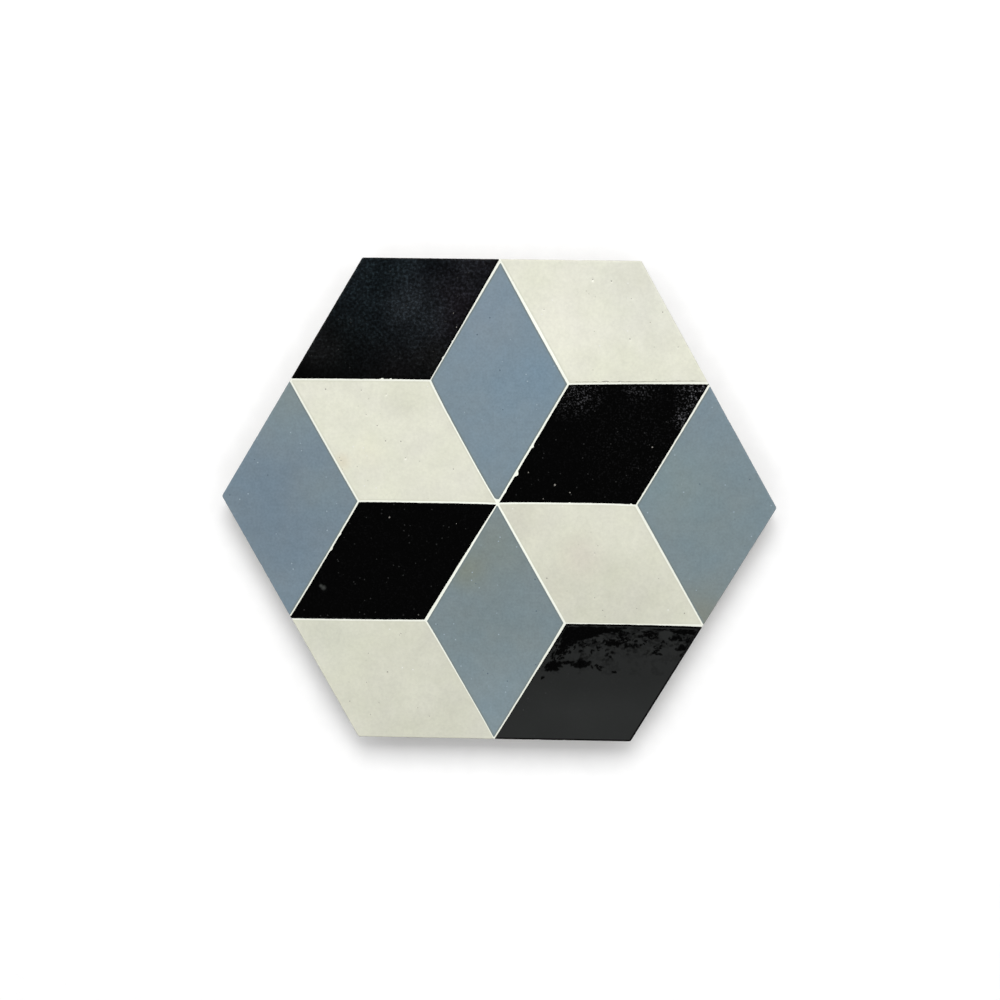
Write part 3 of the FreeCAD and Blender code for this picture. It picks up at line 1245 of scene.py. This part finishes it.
# %% White cement
# Together these darken the white towards the bottom, which is painted shade; the small ones also give
# the cement's own uneven tone
WHITE_TONES_AND_SHADE = [
    ((50, -45), 66, "#c4c4b5"),
    ((-30, -85), 80, "#c3c3b4"),
    ((60, 90), 36, "#d1d1c6"),
    ((-65, 16), 6, "#d1ccba"),
    ((-39, 40), 5, "#c6c6b7"),
    ((-54, 20), 11, "#d7d6c5"),
    ((56, 92), 15, "#cfcfc1"),
    ((35, -22), 15, "#cac7b9"),
    ((25, 70), 27, "#dbdacd"),
    ((8, -7), 25, "#c9c8ba"),
    ((20, -38), 17, "#c6c5b6"),
    ((50, -12), 17, "#d2d2c3"),
    ((-70, -57), 22, "#c7c8b9"),
    ((-34, -78), 20, "#cbcbbc"),
    ((-40, 42), 15, "#cecebf"),
]

tree, place = cement("white_cement_waxed")
colour = washed(tree, place, linear("#d4d4c5"), WHITE_TONES_AND_SHADE)
colour = grained(tree, place, colour, 17, (1.0, 0.995, 1.014), (0.997, 1.004, 0.982))
colour = grained(tree, place, colour, 9, 0.97, 1.03)
colour = grained(tree, place, colour, 3.2, 0.985, 1.015)
colour = grained(tree, place, colour, 1.1, 0.962, 1.038)
colour = specked(tree, place, colour, 4.2, 0.7, 0.4, "#b9b9aa")
colour = specked(tree, place, colour, 5.1, 0.7, 0.4, "#dededa")
colour = edged(tree, colour, "#c6c6b5", 0.4)
finish(tree, place, colour, 0.16, bump=0.0015)

# %% [markdown]
# ### Grey blue
# White cement with a little black and blue. The two fields at the right and the bottom are greener
# than the other two.

# %% Grey blue cement
BLUE_WASHES = [
    ((0, -58), 88, "#738083"),
    ((0, -92), 46, "#76858b"),
    ((0, -18), 28, "#77817f"),
    ((-13, -28), 14, "#788079"),
    ((86, -8), 76, "#748286"),
    ((85, -52), 33, "#787d75"),
    ((73, 9), 26, "#778689"),
    ((-92, -6), 66, "#6d7c87"),
    ((-88, 46), 34, "#788486"),
    ((14, 52), 28, "#728592"),
    ((-8, 80), 34, "#778691"),
    ((-72, 4), 20, "#738188"),
]

tree, place = cement("grey_blue_cement_waxed")
colour = washed(tree, place, linear("#75858f"), BLUE_WASHES)
colour = grained(tree, place, colour, 13, (1.02, 1.0, 0.985), (0.975, 1.0, 1.02))
colour = grained(tree, place, colour, 8, 0.98, 1.02)
colour = grained(tree, place, colour, 2.8, 0.965, 1.035)
colour = grained(tree, place, colour, 1.0, 0.94, 1.06)
colour = specked(tree, place, colour, 3.6, 0.7, 0.4, "#97a5ae")
colour = specked(tree, place, colour, 5.1, 0.8, 0.4, "#55636e")
colour = edged(tree, colour, "#707b7c", 0.9)
finish(tree, place, colour, 0.14, bump=0.0015)

# %% [markdown]
# ### The lines
# Pure white cement with the least sand, so it's brighter than the white fields beside it.

# %% Line cement
LINE_WASHES = [((0, 0), 90, "#ecefe4"), ((25, 75), 40, "#f0f2e8"), ((-32, 72), 30, "#d8dbd5")]

tree, place = cement("white_line_cement")
colour = washed(tree, place, linear("#e2e4d9"), LINE_WASHES)
colour = grained(tree, place, colour, 2.5, 0.97, 1.02)
finish(tree, place, colour, 0.25)

# %% [markdown]
# ### The mortar behind the colours
# Sand and grey cement, pressed nearly dry. It's porous, and its grains show as light and dark.

# %% Grey mortar
tree, place = cement("grey_mortar_pressed")
colour = grained(tree, place, linear("#7a7771")[:3], 14, 0.9, 1.1)
colour = grained(tree, place, colour, 1.1, 0.8, 1.2)
colour = specked(tree, place, colour, 1.7, 1.0, 0.4, "#9c9484")
colour = specked(tree, place, colour, 2.3, 1.0, 0.25, "#4f4c48")
finish(tree, place, colour, 0.88, 0.88, bump=0.12, bump_size=0.9)
